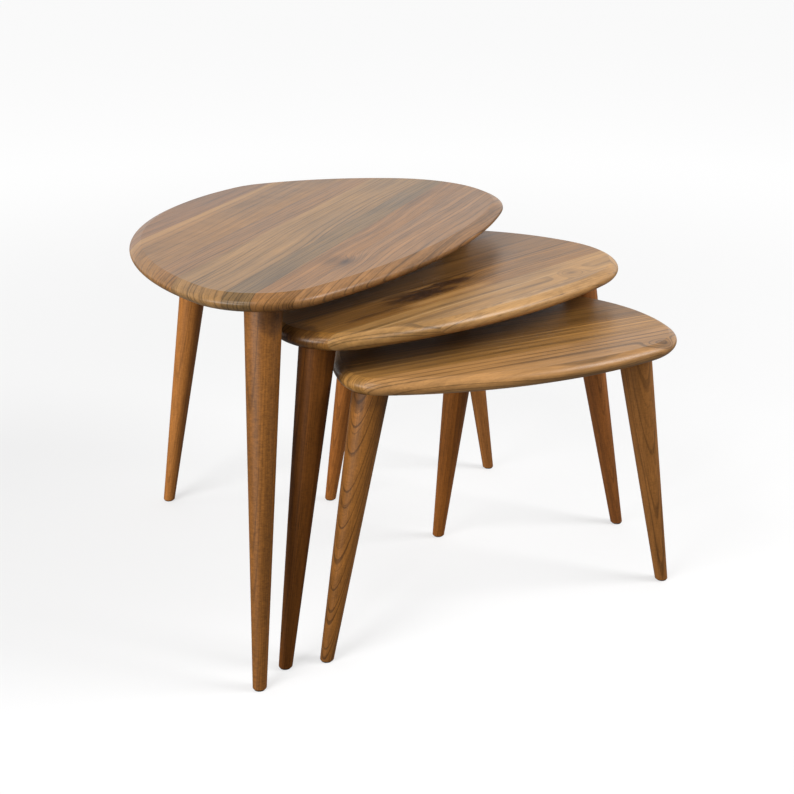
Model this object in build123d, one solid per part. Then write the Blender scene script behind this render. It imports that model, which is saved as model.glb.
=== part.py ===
"""Set of three nesting side tables: pebble-shaped tops of edge-glued staves on three splayed, tapered legs each.

Millimetres, +Z up. The set stands on z = 0 and the origin is the middle of its footprint. The tables are
fanned out: each smaller table is pushed in under the one above until its top stands just clear of the legs.
"""
from build123d import *
from dataclasses import dataclass
from math import acos, atan2, cos, degrees, hypot, pi, radians, sin, tan
import os

# --- driving dimensions shared by the three tables -------------------------------------------------------
TOP_THICKNESS = 21.0
NOSE_DROP = 9.5  # the rounded edge is widest this far below the top face
RIM_WIDTH = 22.0  # of the edge that is turned round each arc of the outline
LEG_TOP_RADIUS = 21.0
LEG_FOOT_RADIUS = 8.0
FOOT_ROUND = 1.2  # rounding where a leg ends above its glide
GRAIN_BEARING = 70.0  # the staves run this way in each table's own plan, in degrees from its X axis

# hardware: one hanger bolt, one threaded insert and one glide for each leg
BOLT_RADIUS = 4.0
BOLT_PLAY = 0.05
BOLT_IN_TOP = 11.0
BOLT_IN_LEG = 28.0
BOLT_COLLAR_RADIUS = 5.5
BOLT_COLLAR_HEIGHT = 2.0
INSERT_RADIUS = 6.0
INSERT_DEPTH = 12.0
INSERT_FLANGE_RADIUS = 8.0
INSERT_FLANGE_THICKNESS = 1.5
GLIDE_RADIUS = 6.5
GLIDE_PROUD = 1.5  # the glide holds the wood this far off the floor
GLIDE_SUNK = 2.5
GLIDE_EDGE = 0.5

LEG_NAMES = ("left", "front", "right")


@dataclass
class Table:
    """One table, in its own plan: X across, Y towards the back, before it is turned and put in its place."""

    name: str
    height: float
    place: tuple  # of the table's own origin, from the large table's
    turn: float  # clockwise is negative
    corners: tuple  # (x, y, radius) of the rounded corners: right, left, front
    sides: tuple  # radii of the long arcs right to left, left to front, front to right
    legs: tuple  # ((x, y) at the underside, (x, y) on the floor) for the left, front and right leg
    nose: tuple  # how far the top face and the underside stand in from the widest line of the edge
    arris: float  # angle in degrees by which the edge breaks away from the top face
    glue_lines: tuple  # places of the glue lines across the grain

    @property
    def underside(self):
        return self.height - TOP_THICKNESS


TABLES = (
    Table(
        name="large",
        height=450.0,
        place=(0.0, 0.0),
        turn=0.0,
        corners=((64, 134, 162), (-79, 157, 106), (-69, -259, 97)),
        sides=(377, 423, 916),
        legs=(((-187, 88), (-260, 118)), ((-64, -320), (-76, -393)), ((160, 200), (223, 240))),
        nose=(14.0, 19.0),
        arris=24.0,
        glue_lines=(-182, -94, -56, 20, 52, 92),
    ),
    Table(
        name="medium",
        height=400.0,
        place=(142.0, -63.0),
        turn=-23.0,
        corners=((62, 98, 130), (-66, 128, 96), (-42, -226, 78)),
        sides=(292, 324, 763),
        legs=(((-153, 84), (-221, 106)), ((-48, -271), (-66, -337)), ((127, 160), (192, 194))),
        nose=(11.0, 15.0),
        arris=16.0,
        glue_lines=(-74, 26, 83, 138),
    ),
    Table(
        name="small",
        height=350.0,
        place=(215.0, -172.0),
        turn=-42.0,
        corners=((70, 94, 88), (-29, 101, 102), (-35, -188, 50)),
        sides=(207, 250, 558),
        legs=(((-117, 58), (-172, 75)), ((-35, -207), (-55, -265)), ((93, 127), (130, 173))),
        nose=(10.0, 15.0),
        arris=16.0,
        glue_lines=(-50, 10, 62),
    ),
)


# --- top ---------------------------------------------------------------------------------------------------
def side_centres(table):
    """Centre of each long side arc, which takes in the two corner circles that it runs between."""
    centres = []
    for index, side in enumerate(table.sides):
        x1, y1, r1 = table.corners[index]
        x2, y2, r2 = table.corners[(index + 1) % 3]
        span = hypot(x2 - x1, y2 - y1)
        reach1 = side - r1
        reach2 = side - r2
        turn = acos((span**2 + reach1**2 - reach2**2) / (2 * span * reach1))
        bearing = atan2(y2 - y1, x2 - x1) + turn
        centres.append((x1 + reach1 * cos(bearing), y1 + reach1 * sin(bearing)))
    return centres


def outline_arcs(table):
    """(centre, radius, start, end) of the six tangent arcs, counter-clockwise, with bearings in radians."""
    centres = side_centres(table)
    arcs = []
    for index, corner in enumerate(table.corners):
        before = centres[index - 1]
        after = centres[index]
        following = table.corners[(index + 1) % 3]
        into_corner = atan2(corner[1] - before[1], corner[0] - before[0])
        out_of_corner = atan2(corner[1] - after[1], corner[0] - after[0])
        end_of_side = atan2(following[1] - after[1], following[0] - after[0])
        arcs.append((corner[:2], corner[2], into_corner, out_of_corner))
        arcs.append((after, table.sides[index], out_of_corner, end_of_side))
    return arcs


def outline(table, inset, z):
    """Face inside the pebble outline, drawn in by an inset, at a height."""
    edges = []
    for centre, radius, start, end in outline_arcs(table):
        sweep = (end - start) % (2 * pi)
        bearings = (start, start + sweep / 2, start + sweep)
        reach = radius - inset
        edges.append(ThreePointArc(*[(centre[0] + reach * cos(b), centre[1] + reach * sin(b)) for b in bearings]))
    return Pos(0, 0, z) * make_face(Curve() + edges)


def edge_profile(table):
    """Section of the rim: x is measured out from the widest line of the edge and y down from the top face."""
    over, under = table.nose
    brow = Bezier(
        (-over, 0),
        (-over / 2, over / 2 * tan(radians(table.arris))),
        (0, NOSE_DROP / 2),
        (0, NOSE_DROP),
    )
    chin = Bezier(
        (0, NOSE_DROP),
        (0, (NOSE_DROP + TOP_THICKNESS) / 2),
        (-under / 2, TOP_THICKNESS),
        (-under, TOP_THICKNESS),
    )
    top_line = Line((-RIM_WIDTH, 0), (-over, 0))
    bottom_line = Line((-under, TOP_THICKNESS), (-RIM_WIDTH, TOP_THICKNESS))
    back_line = Line((-RIM_WIDTH, TOP_THICKNESS), (-RIM_WIDTH, 0))
    return make_face(Curve() + [top_line, brow, chin, bottom_line, back_line])


def top_slab(table):
    """The whole top before it is divided into staves: a flat core with the pockets for the threaded inserts,
    and round it a rim turned about the centre of each arc."""
    slab = extrude(outline(table, RIM_WIDTH, table.underside), TOP_THICKNESS)
    for (x, y), _ in table.legs:
        slab -= Pos(x, y, table.underside) * insert_outline()
    profile = edge_profile(table)
    for centre, radius, start, end in outline_arcs(table):
        outward = (cos(start), sin(start), 0)
        along = (-sin(start), cos(start), 0)
        rim_start = (centre[0] + radius * cos(start), centre[1] + radius * sin(start), table.height)
        section = Plane(origin=rim_start, x_dir=outward, z_dir=along) * profile
        axis = Axis((centre[0], centre[1], 0), (0, 0, 1))
        slab += revolve(section, axis, degrees((end - start) % (2 * pi)))
    return slab


def staves(table):
    """The strips of wood, glued edge to edge, that make the top."""
    reach = 2 * table.height
    slab = top_slab(table)
    bounds = (-reach,) + table.glue_lines + (reach,)
    strips = []
    for left, right in zip(bounds, bounds[1:]):
        slot = Pos((left + right) / 2, 0, table.height) * Box(right - left, 2 * reach, 4 * TOP_THICKNESS)
        strips.append(slab & (Rot(0, 0, GRAIN_BEARING - 90) * slot))
    return strips


# --- legs and hardware -------------------------------------------------------------------------------------
def stepped_pin(*steps):
    """Round pin standing on z = 0, made of (radius, height) steps."""
    pin = Part()
    z = 0.0
    for radius, height in steps:
        pin += Pos(0, 0, z) * Cylinder(radius, height, align=(Align.CENTER, Align.CENTER, Align.MIN))
        z += height
    return pin


def leg(table, at_top, at_floor):
    """Tapered round leg, splayed outwards and cut level at both ends, with its bolt hole and glide seat."""
    dx = at_top[0] - at_floor[0]
    dy = at_top[1] - at_floor[1]
    axis = Vector(dx, dy, table.underside)
    taper = (LEG_TOP_RADIUS - LEG_FOOT_RADIUS) / axis.length
    spare = 30.0  # cone past each end, removed by the level cuts
    start = Vector(at_floor[0], at_floor[1], 0) - axis.normalized() * spare
    cone = Cone(
        LEG_FOOT_RADIUS - taper * spare,
        LEG_TOP_RADIUS + taper * spare,
        axis.length + 2 * spare,
        align=(Align.CENTER, Align.CENTER, Align.MIN),
    )
    body = Plane(origin=start, z_dir=axis) * cone
    length = table.underside - GLIDE_PROUD
    body &= Pos(0, 0, GLIDE_PROUD + length / 2) * Box(4 * table.height, 4 * table.height, length)
    body = fillet(body.edges().sort_by(Axis.Z)[0], FOOT_ROUND)
    collar = (BOLT_COLLAR_RADIUS + BOLT_PLAY, BOLT_COLLAR_HEIGHT)
    bore = (BOLT_RADIUS + BOLT_PLAY, BOLT_IN_LEG - BOLT_COLLAR_HEIGHT)
    body -= Pos(at_top[0], at_top[1], table.underside) * Rot(180, 0, 0) * stepped_pin(collar, bore)
    body -= Pos(at_floor[0], at_floor[1], GLIDE_PROUD) * stepped_pin((GLIDE_RADIUS, GLIDE_SUNK))
    return body


def insert_outline():
    """Outside of a threaded insert, standing on its flange."""
    sleeve_height = INSERT_DEPTH - INSERT_FLANGE_THICKNESS
    return stepped_pin((INSERT_FLANGE_RADIUS, INSERT_FLANGE_THICKNESS), (INSERT_RADIUS, sleeve_height))


def threaded_insert():
    """Flanged brass sleeve."""
    return insert_outline() - stepped_pin((BOLT_RADIUS, INSERT_DEPTH))


def hanger_bolt():
    """Headless steel bolt: machine thread up into the insert, collar, wood thread down into the leg."""
    wood_end = 3.0  # length of the tapered point
    bolt = stepped_pin((BOLT_RADIUS - BOLT_PLAY, BOLT_IN_TOP))
    bolt += Rot(180, 0, 0) * stepped_pin(
        (BOLT_COLLAR_RADIUS, BOLT_COLLAR_HEIGHT), (BOLT_RADIUS, BOLT_IN_LEG - BOLT_COLLAR_HEIGHT - wood_end)
    )
    point = Cone(BOLT_RADIUS / 3, BOLT_RADIUS, wood_end, align=(Align.CENTER, Align.CENTER, Align.MIN))
    return bolt + Pos(0, 0, -BOLT_IN_LEG) * point


def glide():
    """Dark disc let into the foot, with its lower edge eased."""
    disc = stepped_pin((GLIDE_RADIUS, GLIDE_PROUD + GLIDE_SUNK))
    return fillet(disc.edges().sort_by(Axis.Z)[0], GLIDE_EDGE)


# --- one table, and the set ----------------------------------------------------------------------------------
def build_table(table):
    """Node name to its shape, turned and put in its place among the others."""
    nodes = {}
    for number, strip in enumerate(staves(table), start=1):
        nodes[f"{table.name}_stave_{number}"] = strip
    for side, (at_top, at_floor) in zip(LEG_NAMES, table.legs):
        nodes[f"{table.name}_leg_{side}"] = leg(table, at_top, at_floor)
    under_top = [Pos(x, y, table.underside) for (x, y), _ in table.legs]
    on_floor = [Pos(x, y, 0) for _, (x, y) in table.legs]
    nodes[f"{table.name}_threaded_inserts"] = Compound(children=[place * threaded_insert() for place in under_top])
    nodes[f"{table.name}_hanger_bolts"] = Compound(children=[place * hanger_bolt() for place in under_top])
    nodes[f"{table.name}_glides"] = Compound(children=[place * glide() for place in on_floor])
    seat = Pos(table.place[0], table.place[1], 0) * Rot(0, 0, table.turn)
    return {name: seat * shape for name, shape in nodes.items()}


model = {}
for one_table in TABLES:
    model.update(build_table(one_table))

boxes = [shape.bounding_box() for shape in model.values()]
middle_x = (min(box.min.X for box in boxes) + max(box.max.X for box in boxes)) / 2
middle_y = (min(box.min.Y for box in boxes) + max(box.max.Y for box in boxes)) / 2
to_origin = Pos(-middle_x, -middle_y, 0)

os.makedirs("parts", exist_ok=True)
for name, shape in model.items():
    export_step(to_origin * shape, f"parts/{name}.step")
print(f"{len(model)} nodes; the large table's own origin is at {-middle_x:.3f}, {-middle_y:.3f}")
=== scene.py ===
"""Looks of the nesting tables: staved walnut tops, turned legs, black glides, a pale floor and soft light."""

import math
import random

import bpy
import numpy as np
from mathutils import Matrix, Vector


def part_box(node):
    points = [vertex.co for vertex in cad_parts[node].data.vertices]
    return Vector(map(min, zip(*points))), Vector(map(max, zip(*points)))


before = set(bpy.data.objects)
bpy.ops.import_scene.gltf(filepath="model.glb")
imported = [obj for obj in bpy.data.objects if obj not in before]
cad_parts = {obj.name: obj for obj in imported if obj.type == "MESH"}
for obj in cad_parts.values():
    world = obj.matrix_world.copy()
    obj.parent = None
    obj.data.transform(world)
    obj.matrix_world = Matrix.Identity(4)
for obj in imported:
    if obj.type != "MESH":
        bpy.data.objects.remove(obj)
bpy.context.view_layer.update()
rng = random.Random(11)


# --- colours and node graphs ----------------------------------------------------------------------
def srgb(red, green, blue):
    """Linear colour from 0-255 display values."""
    linear = []
    for value in (red, green, blue):
        c = value / 255
        linear.append(c / 12.92 if c <= 0.04045 else ((c + 0.055) / 1.055) ** 2.4)
    return (*linear, 1.0)


def scaled_colour(colour, gain):
    """The colour made brighter or darker in linear light."""
    return tuple(c * gain for c in colour[:3]) + (1.0,)


class Graph:
    """Short names for building the nodes of a material or a world."""

    def __init__(self, owner):
        owner.use_nodes = True
        self.tree = owner.node_tree
        self.shader = self.tree.nodes.get("Principled BSDF")

    def feed(self, socket, value):
        if isinstance(value, bpy.types.NodeSocket):
            self.tree.links.new(value, socket)
        else:
            socket.default_value = value

    def math(self, operation, a, b=0.0, c=0.0):
        node = self.tree.nodes.new("ShaderNodeMath")
        node.operation = operation
        for socket, value in zip(node.inputs, (a, b, c)):
            self.feed(socket, value)
        return node.outputs[0]

    def add(self, a, b):
        return self.math("ADD", a, b)

    def mul(self, a, b):
        return self.math("MULTIPLY", a, b)

    def mad(self, a, b, c):
        return self.math("MULTIPLY_ADD", a, b, c)

    def fade(self, value, rate):
        """A hump of height 1 that falls away as value grows."""
        return self.math("EXPONENT", self.mul(value, -rate))

    def centred(self, noise, amount):
        """Noise of 0 to 1 turned into plus or minus half of amount."""
        return self.mad(noise, amount, -0.5 * amount)

    def smooth(self, value, low, high):
        node = self.tree.nodes.new("ShaderNodeMapRange")
        node.interpolation_type = "SMOOTHSTEP"
        for socket, given in zip(node.inputs, (value, low, high, 0.0, 1.0)):
            self.feed(socket, given)
        return node.outputs[0]

    def split(self, vector):
        node = self.tree.nodes.new("ShaderNodeSeparateXYZ")
        self.feed(node.inputs[0], vector)
        return node.outputs

    def grey(self, value):
        node = self.tree.nodes.new("ShaderNodeCombineXYZ")
        for socket in node.inputs:
            self.feed(socket, value)
        return node.outputs[0]

    def scaled(self, vector, scale, offset=(0, 0, 0)):
        node = self.tree.nodes.new("ShaderNodeMapping")
        self.feed(node.inputs["Vector"], vector)
        node.inputs["Scale"].default_value = scale
        node.inputs["Location"].default_value = offset
        return node.outputs[0]

    def placed(self, location=(0, 0, 0), euler=(0, 0, 0)):
        """Coordinates in a frame that stands at location, turned by euler, in the object's space."""
        source = self.tree.nodes.new("ShaderNodeTexCoord")
        node = self.tree.nodes.new("ShaderNodeMapping")
        node.vector_type = "TEXTURE"
        self.feed(node.inputs["Vector"], source.outputs["Object"])
        node.inputs["Location"].default_value = location
        node.inputs["Rotation"].default_value = euler
        return node.outputs[0]

    def noise(self, vector, detail, roughness, distortion=0.0):
        node = self.tree.nodes.new("ShaderNodeTexNoise")
        self.feed(node.inputs["Vector"], vector)
        node.inputs["Scale"].default_value = 1.0
        node.inputs["Detail"].default_value = detail
        node.inputs["Roughness"].default_value = roughness
        node.inputs["Distortion"].default_value = distortion
        return node.outputs["Fac"]

    def noise_1d(self, value, detail, roughness):
        node = self.tree.nodes.new("ShaderNodeTexNoise")
        node.noise_dimensions = "1D"
        self.feed(node.inputs["W"], value)
        node.inputs["Scale"].default_value = 1.0
        node.inputs["Detail"].default_value = detail
        node.inputs["Roughness"].default_value = roughness
        return node.outputs["Fac"]

    def ramp(self, value, colours):
        """Colours spread evenly over a value of 0 to 1."""
        node = self.tree.nodes.new("ShaderNodeValToRGB")
        self.feed(node.inputs[0], value)
        stops = node.color_ramp.elements
        while len(stops) < len(colours):
            stops.new(0.5)
        for number, colour in enumerate(colours):
            stops[number].position = number / (len(colours) - 1)
            stops[number].color = colour
        return node.outputs[0]

    def mix(self, factor, a, b, blend="MIX"):
        node = self.tree.nodes.new("ShaderNodeMix")
        node.data_type = "RGBA"
        node.blend_type = blend
        self.feed(node.inputs["Factor"], factor)
        self.feed(node.inputs["A"], a)
        self.feed(node.inputs["B"], b)
        return node.outputs["Result"]

    def bump(self, height, distance, strength):
        node = self.tree.nodes.new("ShaderNodeBump")
        node.inputs["Strength"].default_value = strength
        node.inputs["Distance"].default_value = distance
        self.feed(node.inputs["Height"], height)
        self.feed(self.shader.inputs["Normal"], node.outputs[0])


def dress(node, material):
    """Gives a CAD node one material."""
    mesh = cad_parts[node].data
    mesh.materials.clear()
    mesh.materials.append(material)


# --- solid wood -----------------------------------------------------------------------------------
ALONG_Y = 1
ALONG_Z = 2
DARK_GAIN = 0.42
LIGHT_GAIN = 1.5
GOLD = srgb(176, 132, 78)
SAP = srgb(190, 146, 92)
PALE = srgb(190, 150, 100)
INK = srgb(50, 34, 22)
BARK = srgb(58, 34, 16)
KNOT = srgb(48, 30, 20)

# Layers of noise in the wood: cycles per metre across the grain and along it, the layer's own offset,
# and the detail and roughness of the noise.
LAYERS = {
    "drift": (5.0, 1.6, 0.0, 2.0, 0.5),
    "waver": (26.0, 5.0, 3.1, 2.0, 0.55),
    "blotch": (11.0, 2.6, 9.7, 2.0, 0.5),
    "strokes": (150.0, 9.0, 7.9, 4.0, 0.68),
    "curl": (14.0, 55.0, 5.3, 2.0, 0.5),
    "ragged": (120.0, 22.0, 6.1, 4.0, 0.7),
    "fine": (850.0, 26.0, 1.7, 3.0, 0.6),
    "pores": (1300.0, 60.0, 2.9, 1.0, 0.5),
    "flecks": (230.0, 480.0, 4.4, 3.0, 0.65),
}
DRIFT_REACH = 0.05  # how far the grain wanders sideways, in metres
WAVER_REACH = 0.006
THREADS_PER_RING = 4.3
LINE_DEPTH = 0.48
STROKE_DEPTH = 1.1
BLOTCH_DEPTH = 0.9
RAGGEDNESS = 4.0
STREAK_END = 0.02  # how softly a streak starts and stops, in metres
PORE_DEPTH = 0.22
GLOSS_SPREAD = 0.12
GRAIN_RELIEF = 0.00012


class Grain(Graph):
    """The coordinates of one piece of solid wood, and noise that follows its grain."""

    def __init__(self, material, place, euler, along, seed):
        super().__init__(material)
        self.point = self.placed(place, euler)
        x, y, z = self.split(self.point)
        self.across, self.run, self.depth = (x, y, z) if along == ALONG_Y else (x, z, y)
        self.along = along
        self.seed = seed

    def layer(self, name, distortion=0.0):
        fine, lengthwise, own_offset, detail, roughness = LAYERS[name]
        scale = (fine, lengthwise, fine) if self.along == ALONG_Y else (fine, fine, lengthwise)
        offset = self.seed + own_offset
        moved = self.scaled(self.point, scale, (offset, offset * 0.7, offset * 1.3))
        return self.noise(moved, detail, roughness, distortion)

    def reach(self, across, along, width, length):
        """Squared distance from a mark's middle, counted in its own half widths and half lengths."""
        u = self.mul(self.add(self.across, -across), 1 / width)
        v = self.mul(self.add(self.run, -along), 1 / length)
        return self.add(self.mul(u, u), self.mul(v, v))


def rings(g, pith, spacing, wander, tilt, knots):
    """Rings counted outwards from the pith, the grain's sideways wander, and the darkness of the knots."""
    shift = g.add(g.centred(g.layer("drift"), DRIFT_REACH * wander),
                  g.centred(g.layer("waver"), WAVER_REACH * wander))
    side = g.add(g.add(g.across, -pith[0]), shift)
    rise = g.add(g.depth, -pith[1])
    if tilt:
        rise = g.mad(g.run, tilt, rise)
    radius = g.math("SQRT", g.add(g.mul(side, side), g.mul(rise, rise)))
    darkest = None
    for across, along, width, length, pull, darkness in knots:
        reach = g.reach(across, along, width, length)
        radius = g.mad(g.fade(reach, 1.0), pull, radius)
        core = g.mul(g.fade(reach, 3.0), darkness)
        darkest = core if darkest is None else g.math("MAXIMUM", darkest, core)
    return g.mul(radius, 1 / spacing), shift, darkest


def ring_tone(g, phase, blotch, contrast, grit, figure):
    """Lightness of the wood from 0 to 1: bands, dark lines, short strokes, broad blotches and curl."""
    bands = g.noise_1d(g.add(phase, g.seed * 7.0), 3.0, 0.55)
    threads = g.noise_1d(g.mad(phase, THREADS_PER_RING, g.seed * 3.0), 2.0, 0.6)
    tone = g.mad(g.add(bands, -0.5), contrast, 0.5)
    tone = g.mad(g.smooth(threads, 0.52, 0.66), -LINE_DEPTH * contrast, tone)
    tone = g.add(tone, g.centred(g.layer("strokes"), STROKE_DEPTH * grit))
    tone = g.add(tone, g.centred(blotch, BLOTCH_DEPTH))
    if figure:
        tone = g.add(tone, g.centred(g.layer("curl", distortion=0.4), figure))
    return tone


def marked(g, colour, shift, streaks, patches):
    """The colour with long streaks and ragged patches laid over it."""
    for across, start, end, width, tint, strength in streaks:
        u = g.mul(g.add(g.add(g.across, -across), g.mul(shift, 0.3)), 1 / width)
        band = g.fade(g.mul(u, u), 1.0)
        ends = g.mul(g.smooth(g.run, start - STREAK_END, start + STREAK_END),
                     g.smooth(g.run, end + STREAK_END, end - STREAK_END))
        colour = g.mix(g.mul(g.mul(band, ends), strength), colour, tint)
    if patches:
        ragged = g.centred(g.layer("ragged"), RAGGEDNESS)
    for across, along, width, length, tint, strength in patches:
        cover = g.smooth(g.add(g.reach(across, along, width, length), ragged), 1.3, 0.1)
        colour = g.mix(g.mul(cover, strength), colour, tint)
    return colour


def wood(name, place, euler, mid, pith, spacing, contrast, seed, along=ALONG_Y,
         knots=(), streaks=(), patches=(), fibre=0.6, rough=0.36, shine=0.31,
         figure=0.0, wander=1.0, tilt=0.0, fleck=0.0, grit=1.0):
    """Solid wood in three dimensions, so that its growth rings run from the top face over the edge.

    place and euler set the grain frame, and along is the axis that the grain follows. pith is where the
    heart of the tree lies, across and in depth, and tilt is how fast it draws away along the grain.
    Knots are (across, along, width, length, pull, darkness), streaks are (across, from, to, width, colour,
    strength) and patches are (across, along, width, length, colour, strength). contrast, grit, figure,
    fibre and fleck weigh the rings, the short strokes, the cross curl, the fibres and the ray flecks.
    """
    material = bpy.data.materials.new(name)
    g = Grain(material, place, euler, along, seed)
    phase, shift, knot_core = rings(g, pith, spacing, wander, tilt, knots)
    blotch = g.layer("blotch")
    middle = srgb(*mid)
    tone = ring_tone(g, phase, blotch, contrast, grit, figure)
    colour = g.ramp(tone, (scaled_colour(middle, DARK_GAIN), middle, scaled_colour(middle, LIGHT_GAIN)))
    colour = marked(g, colour, shift, streaks, patches)
    if knot_core is not None:
        colour = g.mix(knot_core, colour, KNOT)

    fine = g.layer("fine")
    pores = g.smooth(g.layer("pores"), 0.62, 0.74)
    lined = g.mad(g.add(fine, -0.5), fibre, 1.0)
    lined = g.mad(pores, -PORE_DEPTH * fibre, lined)
    if fleck:
        lined = g.add(lined, g.centred(g.layer("flecks"), fleck))
    g.feed(g.shader.inputs["Base Color"], g.mix(1.0, colour, g.grey(lined), "MULTIPLY"))
    g.feed(g.shader.inputs["Roughness"], g.mad(g.add(fine, blotch), GLOSS_SPREAD, rough - GLOSS_SPREAD))
    g.shader.inputs["Specular IOR Level"].default_value = shine
    g.bump(g.mad(pores, -0.6, fine), GRAIN_RELIEF, 0.5)
    return material


# --- tops -----------------------------------------------------------------------------------------
# Each table's own grain frame: where its origin stands, and the bearing of its grain in degrees.
GRAIN_FRAMES = {
    "large": ((-0.0837, 0.0522), 70.0),
    "medium": ((0.0583, -0.0108), 47.0),
    "small": ((0.1313, -0.1198), 28.0),
}
SEED_RANGE = 20

# For each stave: its middle tone, and what is particular to it; lengths are in metres in the grain frame.
STAVES = {
    "large": [
        dict(mid=(130, 90, 54), pith=(-0.45, -0.05), spacing=0.012, contrast=0.8),
        dict(mid=(133, 95, 53), pith=(-0.42, -0.20), spacing=0.016, contrast=0.7, figure=0.35,
             streaks=[(-0.176, -1, 1, 0.007, SAP, 0.35)]),
        dict(mid=(138, 97, 54), pith=(0.15, -0.12), spacing=0.010, contrast=0.7),
        dict(mid=(137, 103, 63), pith=(-0.32, -0.16), spacing=0.012, contrast=0.9),
        dict(mid=(120, 92, 56), pith=(0.35, -0.08), spacing=0.010, contrast=0.9),
        dict(mid=(134, 93, 51), pith=(0.36, -0.09), spacing=0.008, contrast=1.0,
             knots=[(0.092, -0.19, 0.012, 0.030, 0.012, 0.9)],
             streaks=[(0.054, 0.12, 0.23, 0.004, INK, 0.5), (0.074, -0.21, -0.17, 0.012, INK, 0.5)]),
        dict(mid=(138, 98, 58), pith=(0.40, -0.10), spacing=0.011, contrast=0.9,
             knots=[(0.094, -0.19, 0.014, 0.034, 0.012, 0.6)]),
    ],
    "medium": [
        dict(mid=(122, 84, 44), pith=(-0.24, -0.08), spacing=0.010, contrast=0.7),
        dict(mid=(128, 90, 48), pith=(-0.30, -0.12), spacing=0.012, contrast=0.8),
        dict(mid=(136, 94, 44), pith=(0.30, -0.10), spacing=0.010, contrast=0.8,
             knots=[(0.045, -0.03, 0.017, 0.035, 0.012, 0.4), (0.052, -0.10, 0.018, 0.040, 0.012, 0.5)],
             streaks=[(0.074, -0.15, -0.01, 0.006, GOLD, 0.7), (0.030, -0.16, -0.06, 0.003, GOLD, 0.4)],
             patches=[(0.040, -0.04, 0.010, 0.050, BARK, 0.9), (0.050, -0.10, 0.014, 0.060, BARK, 0.95),
                      (0.036, -0.13, 0.007, 0.030, BARK, 0.6), (0.066, -0.20, 0.004, 0.050, BARK, 0.6),
                      (0.048, -0.297, 0.030, 0.022, BARK, 0.75)]),
        dict(mid=(156, 116, 66), pith=(0.112, -0.05), spacing=0.010, contrast=0.7,
             knots=[(0.120, 0.100, 0.014, 0.024, 0.012, 0.6)],
             streaks=[(0.106, -0.24, 0.09, 0.0016, PALE, 0.6)]),
        dict(mid=(160, 120, 72), pith=(0.30, -0.15), spacing=0.012, contrast=0.7,
             patches=[(0.172, -0.08, 0.035, 0.22, SAP, 0.6)]),
    ],
    "small": [
        dict(mid=(122, 84, 44), pith=(-0.15, -0.08), spacing=0.010, contrast=0.6),
        dict(mid=(128, 90, 44), pith=(0.26, -0.09), spacing=0.010, contrast=0.9,
             knots=[(0.022, 0.075, 0.014, 0.028, 0.012, 0.5)]),
        dict(mid=(150, 108, 56), pith=(-0.22, -0.08), spacing=0.008, contrast=1.1,
             patches=[(0.016, -0.236, 0.016, 0.020, BARK, 0.6)]),
        dict(mid=(155, 113, 66), pith=(0.10, -0.06), spacing=0.012, contrast=0.9,
             knots=[(0.107, 0.145, 0.010, 0.020, 0.012, 0.7)]),
    ],
}


def dress_top(table, staves):
    """Gives each stave wood of its own, all in the table's grain frame."""
    (origin_x, origin_y), bearing = GRAIN_FRAMES[table]
    top_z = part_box(f"{table}_stave_1")[1].z
    for number, look in enumerate(staves, start=1):
        node = f"{table}_stave_{number}"
        dress(node, wood(f"{node}_walnut", (origin_x, origin_y, top_z), (0, 0, math.radians(bearing - 90)),
                         seed=rng.uniform(0, SEED_RANGE), **look))


for table, staves in STAVES.items():
    dress_top(table, staves)

# --- legs -----------------------------------------------------------------------------------------
LEG_PITH_REACH = 0.05
FULL_TURN = 6.28
ANY_LEG = dict(spacing=0.005, along=ALONG_Z, fibre=1.0, rough=0.46, wander=0.35, contrast=0.5, shine=0.25,
               fleck=0.7, grit=0.5)
LEGS = {
    "large_leg_left": dict(mid=(158, 101, 46)),
    # the patch makes this leg darker near its head, just under the top
    "large_leg_front": dict(mid=(124, 78, 31), fleck=1.4, fibre=0.7,
                            patches=[(-0.010, 0.418, 0.012, 0.016, BARK, 0.6)]),
    "large_leg_right": dict(mid=(142, 90, 42)),
    "medium_leg_left": dict(mid=(156, 94, 38)),
    "medium_leg_front": dict(mid=(92, 53, 17), contrast=0.7, shine=0.1),
    "medium_leg_right": dict(mid=(136, 82, 36)),
    "small_leg_left": dict(mid=(146, 87, 32)),
    # the patch makes this leg darker near its head, just under the top
    "small_leg_front": dict(mid=(130, 83, 34), pith=(0.024, -0.038), contrast=1.0, tilt=0.10,
                            patches=[(-0.004, 0.322, 0.016, 0.014, BARK, 0.6)]),
    "small_leg_right": dict(mid=(138, 90, 42), contrast=0.6, tilt=0.05),
}


def leg_axis(node):
    """Middle of the foot of a leg and the turn that brings Z along the leg."""
    points = np.array([vertex.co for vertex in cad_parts[node].data.vertices])
    low, high = points[:, 2].min(), points[:, 2].max()
    foot = Vector(points[points[:, 2] < low + 0.003].mean(axis=0))
    head = Vector(points[points[:, 2] > high - 0.0005].mean(axis=0))
    return foot, (head - foot).to_track_quat("Z", "Y").to_euler()


for node, look in LEGS.items():
    foot, euler = leg_axis(node)
    turned = rng.uniform(0, FULL_TURN)
    pith = (LEG_PITH_REACH * math.cos(turned), LEG_PITH_REACH * math.sin(turned))
    settings = {**ANY_LEG, "pith": pith, "seed": rng.uniform(0, SEED_RANGE), **look}
    dress(node, wood(f"{node}_wood", tuple(foot), tuple(euler), **settings))


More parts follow.
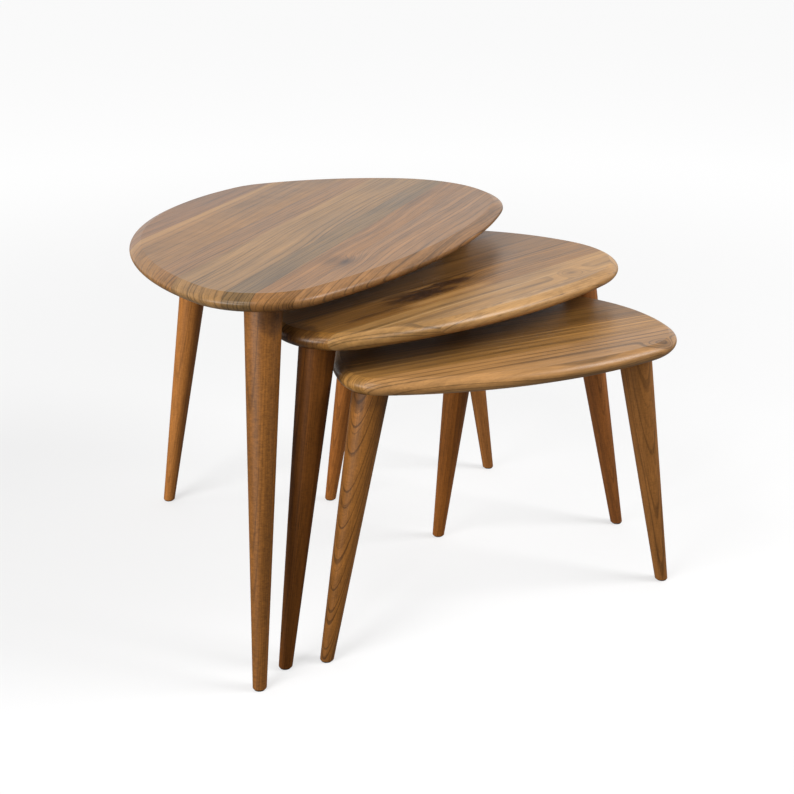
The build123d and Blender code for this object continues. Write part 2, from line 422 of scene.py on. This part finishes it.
# --- hardware -------------------------------------------------------------------------------------
def plain(name, colour, metallic, rough, speckle, bump_height):
    """Metal or moulded plastic with fine unevenness in its colour, gloss and surface."""
    material = bpy.data.materials.new(name)
    g = Graph(material)
    point = g.placed()
    coarse = g.noise(g.scaled(point, (260, 260, 260)), 3.0, 0.6)
    fine = g.noise(g.scaled(point, (1900, 1900, 1900)), 2.0, 0.5)
    dull = scaled_colour(colour, 0.72)
    g.feed(g.shader.inputs["Base Color"], g.mix(g.mul(coarse, speckle), colour, dull))
    g.shader.inputs["Metallic"].default_value = metallic
    g.feed(g.shader.inputs["Roughness"], g.mad(fine, 0.2, rough - 0.1))
    g.bump(fine, bump_height, 0.4)
    return material


steel = plain("bolt_steel", srgb(168, 170, 172), 1.0, 0.35, 0.5, 0.00002)
brass = plain("insert_brass", srgb(186, 150, 84), 1.0, 0.32, 0.5, 0.00002)
black = plain("glide_black", srgb(26, 24, 23), 0.0, 0.7, 0.6, 0.00004)
for table in STAVES:
    dress(f"{table}_hanger_bolts", steel)
    dress(f"{table}_threaded_inserts", brass)
    dress(f"{table}_glides", black)

# --- floor ----------------------------------------------------------------------------------------
FLOOR_REACH = 60.0
FLOOR_ALBEDO = 0.34
FLOOR_GLOW = 0.465
# painted light on the floor, in three amounts: right under the tables, far out, and towards the back
PAINTED_LIGHT_UNDER = 0.16  # makes up for the shade right under the tables
PAINTED_LIGHT_FAR = 0.20  # makes up for the lamps' falling off
PAINTED_LIGHT_BACK = 0.08


def lay_floor():
    """Pale paper that glows, so that it looks white without filling the shade under the tops; besides its
    even glow it has painted light, stronger right under the tables, far out and towards the back.
    """
    bpy.ops.mesh.primitive_plane_add(size=2 * FLOOR_REACH, location=(0, 0, 0))
    floor = bpy.context.object
    floor.name = "floor"
    floor.visible_diffuse = False
    floor.visible_glossy = False
    material = bpy.data.materials.new("paper")
    paper = Graph(material)
    paper.shader.inputs["Base Color"].default_value = (FLOOR_ALBEDO, FLOOR_ALBEDO, FLOOR_ALBEDO, 1)
    paper.shader.inputs["Roughness"].default_value = 0.9
    paper.shader.inputs["Specular IOR Level"].default_value = 0.0
    paper.shader.inputs["Emission Color"].default_value = (1, 1, 1, 1)
    x, y, _ = paper.split(paper.placed())
    spread = paper.add(paper.mul(x, x), paper.mul(y, y))
    # painted light: the floor glows more right under the tables, far out and towards the back
    under = paper.mul(paper.fade(spread, 4.0), PAINTED_LIGHT_UNDER)
    far = paper.mul(paper.smooth(paper.math("SQRT", spread), 0.6, 3.2), PAINTED_LIGHT_FAR)
    glow = paper.add(paper.add(under, far), FLOOR_GLOW)
    glow = paper.mad(paper.smooth(y, -0.6, 1.2), PAINTED_LIGHT_BACK, glow)
    paper.feed(paper.shader.inputs["Emission Strength"], glow)
    material.cycles.emission_sampling = "NONE"
    floor.data.materials.append(material)


lay_floor()

# --- light of the room ----------------------------------------------------------------------------
# by direction: a bright sweep behind the tables, dimmer overhead and on the camera's side, dark below
GROUND = 0.16
FRONT = 0.45
SWEEP = 0.64
OVERHEAD_LOSS = 0.45
SEEN = 0.94  # what the camera sees beyond the floor


def light_room():
    """Sets the world, which tells the bright sweep behind from the darker sides."""
    world = bpy.data.worlds.new("studio")
    room = Graph(world)
    source = room.tree.nodes.new("ShaderNodeTexCoord")
    _, ahead, up = room.split(source.outputs["Generated"])
    glow = room.mad(room.smooth(ahead, -0.35, 0.5), room.mad(up, -OVERHEAD_LOSS, SWEEP), FRONT)
    strength = room.mad(room.smooth(up, -0.12, 0.0), room.add(glow, -GROUND), GROUND)
    seen = room.tree.nodes.new("ShaderNodeLightPath").outputs["Is Camera Ray"]
    backdrop = room.tree.nodes["Background"]
    backdrop.inputs["Color"].default_value = (1, 1, 1, 1)
    room.feed(backdrop.inputs["Strength"], room.math("MAXIMUM", strength, room.mul(seen, SEEN)))
    bpy.context.scene.world = world


def softbox(name, place, aim, width, height, power):
    """Rectangular area light that faces a point."""
    data = bpy.data.lights.new(name, "AREA")
    data.shape = "RECTANGLE"
    data.size = width
    data.size_y = height
    data.energy = power
    lamp = bpy.data.objects.new(name, data)
    lamp.location = place
    lamp.rotation_euler = (Vector(aim) - Vector(place)).to_track_quat("-Z", "Y").to_euler()
    bpy.context.scene.collection.objects.link(lamp)


light_room()
softbox("softbox_left", (-0.95, -1.25, 2.2), (0, 0, 0.3), 0.8, 0.8, 20)
softbox("softbox_low", (-1.9, -1.9, 0.75), (0, 0, 0.25), 1.8, 1.2, 62)
softbox("softbox_right", (1.9, -0.3, 1.75), (0, 0, 0.3), 1.0, 1.0, 42)

# --- camera ---------------------------------------------------------------------------------------
CAMERA_PLACE = (-0.0042, -1.6524, 0.8381)
CAMERA_DIP = 20.32  # degrees below level
FOCAL_LENGTH = 60.87
SENSOR_WIDTH = 36.0

camera_data = bpy.data.cameras.new("camera")
camera_data.sensor_width = SENSOR_WIDTH
camera_data.lens = FOCAL_LENGTH
camera = bpy.data.objects.new("camera", camera_data)
camera.location = CAMERA_PLACE
camera.rotation_euler = (math.radians(90 - CAMERA_DIP), 0, 0)
bpy.context.scene.collection.objects.link(camera)
bpy.context.scene.camera = camera
bpy.context.scene.view_settings.view_transform = "Standard"
